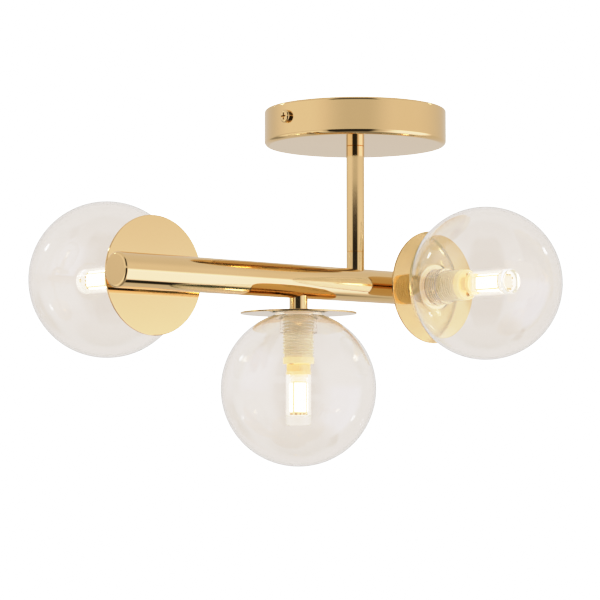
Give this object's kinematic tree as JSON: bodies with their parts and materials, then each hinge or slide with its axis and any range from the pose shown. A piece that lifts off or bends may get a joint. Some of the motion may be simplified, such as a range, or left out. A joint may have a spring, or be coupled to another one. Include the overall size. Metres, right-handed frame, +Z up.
{
  "type": "semi flush ceiling light",
  "caption": "Semi flush ceiling light: round ceiling cup, short stem and a horizontal arm tube with clear glass globes screwed over capsule bulbs, in polished gold.",
  "frame": {"origin": "centre of the ceiling cup's ceiling face, on the stem's axis", "axes": "+Z up into the ceiling, the arm tube along X, with its longer side towards -X"},
  "size_m": [0.303, 0.238, 0.235],
  "materials": {
    "polished_gold": "mirror polished pale gold plating",
    "zinc_steel": "bright zinc plated steel",
    "contact_brass": "plain brass",
    "eyelet_brass": "plated brass eyelets",
    "terminal_white": "moulded white plastic",
    "bush_black": "moulded black plastic",
    "holder_cream": "cream heat-resistant moulding, satin gloss",
    "holder_ceramic": "cream ceramic, satin glaze",
    "clear_silicone": "translucent silicone",
    "globe_glass": "clear blown glass",
    "bulb_cream": "cream ceramic",
    "bulb_clear": "clear moulded capsule",
    "bulb_lit": "warm white light panels, lit",
    "lead_sleeving": "white glass-fibre sleeving",
    "earth_sleeving": "green and yellow sleeving"
  },
  "bodies": {
    "fixture": {"arm_nuts": "zinc_steel", "arm_tube": "polished_gold", "backplate_bottom": "polished_gold", "backplate_left": "polished_gold", "backplate_right": "polished_gold", "canopy": "polished_gold", "canopy_lock_washer": "zinc_steel", "canopy_nut": "zinc_steel", "canopy_screws": "polished_gold", "ceiling_bracket": "zinc_steel", "earth_lead": "earth_sleeving", "earth_screw": "contact_brass", "earth_tag": "zinc_steel", "end_cap_left": "polished_gold", "end_cap_right": "polished_gold", "holder_contacts_bottom": "contact_brass", "holder_contacts_left": "contact_brass", "holder_contacts_right": "contact_brass", "holder_nuts": "zinc_steel", "holder_rivets": "eyelet_brass", "lamp_nipples": "zinc_steel", "lampholder_bottom": "holder_cream", "lampholder_insert_bottom": "holder_ceramic", "lampholder_insert_left": "holder_ceramic", "lampholder_insert_right": "holder_ceramic", "lampholder_left": "holder_cream", "lampholder_right": "holder_cream", "leads_bottom": "lead_sleeving", "leads_left": "lead_sleeving", "leads_right": "lead_sleeving", "saddle_washers": "zinc_steel", "spacer_bottom": "polished_gold", "spacer_left": "polished_gold", "spacer_right": "polished_gold", "stem_coupling": "polished_gold", "stem_nipple_bottom": "zinc_steel", "stem_nipple_top": "zinc_steel", "stem_tube": "polished_gold", "terminal_block": "terminal_white", "terminal_contacts": "contact_brass", "terminal_screws": "zinc_steel", "wire_bush": "bush_black"},
    "gasket_left_ring": {"gasket_left": "clear_silicone"},
    "globe_left_glass": {"globe_left": "globe_glass"},
    "bulb_left": {"bulb_base_left": "bulb_cream", "bulb_pins_left": "zinc_steel", "bulb_capsule_left": "bulb_clear", "bulb_led_left": "bulb_lit"},
    "gasket_right_ring": {"gasket_right": "clear_silicone"},
    "globe_right_glass": {"globe_right": "globe_glass"},
    "bulb_right": {"bulb_base_right": "bulb_cream", "bulb_pins_right": "zinc_steel", "bulb_capsule_right": "bulb_clear", "bulb_led_right": "bulb_lit"},
    "gasket_bottom_ring": {"gasket_bottom": "clear_silicone"},
    "globe_bottom_glass": {"globe_bottom": "globe_glass"},
    "bulb_bottom": {"bulb_base_bottom": "bulb_cream", "bulb_pins_bottom": "zinc_steel", "bulb_capsule_bottom": "bulb_clear", "bulb_led_bottom": "bulb_lit"}
  },
  "joints": [
    {"name": "globe_left_turn", "type": "hinge", "parent": "fixture", "child": "gasket_left_ring", "pos_m": [-0.1515, 0.021, -0.116], "axis": [0, 1, 0], "range_deg": [0, 1980]},
    {"name": "globe_left_travel", "type": "slide", "parent": "gasket_left_ring", "child": "globe_left_glass", "axis": [0, 1, 0], "range_m": [0, 0.011]},
    {"name": "bulb_left_pull", "type": "slide", "parent": "fixture", "child": "bulb_left", "axis": [0, 1, 0], "range_m": [0, 0.018]},
    {"name": "globe_right_turn", "type": "hinge", "parent": "fixture", "child": "gasket_right_ring", "pos_m": [0.0515, -0.021, -0.116], "axis": [0, -1, 0], "range_deg": [0, 1980]},
    {"name": "globe_right_travel", "type": "slide", "parent": "gasket_right_ring", "child": "globe_right_glass", "axis": [0, -1, 0], "range_m": [0, 0.011]},
    {"name": "bulb_right_pull", "type": "slide", "parent": "fixture", "child": "bulb_right", "axis": [0, -1, 0], "range_m": [0, 0.018]},
    {"name": "globe_bottom_turn", "type": "hinge", "parent": "fixture", "child": "gasket_bottom_ring", "pos_m": [-0.05, 0, -0.137], "axis": [0, 0, -1], "range_deg": [0, 1980]},
    {"name": "globe_bottom_travel", "type": "slide", "parent": "gasket_bottom_ring", "child": "globe_bottom_glass", "axis": [0, 0, -1], "range_m": [0, 0.011]},
    {"name": "bulb_bottom_pull", "type": "slide", "parent": "fixture", "child": "bulb_bottom", "axis": [0, 0, -1], "range_m": [0, 0.018]}
  ],
  "couplings": [
    {"joint": "globe_left_travel", "follows": "globe_left_turn", "m_per_rad": 0.00031831},
    {"joint": "globe_right_travel", "follows": "globe_right_turn", "m_per_rad": 0.00031831},
    {"joint": "globe_bottom_travel", "follows": "globe_bottom_turn", "m_per_rad": 0.00031831}
  ]
}
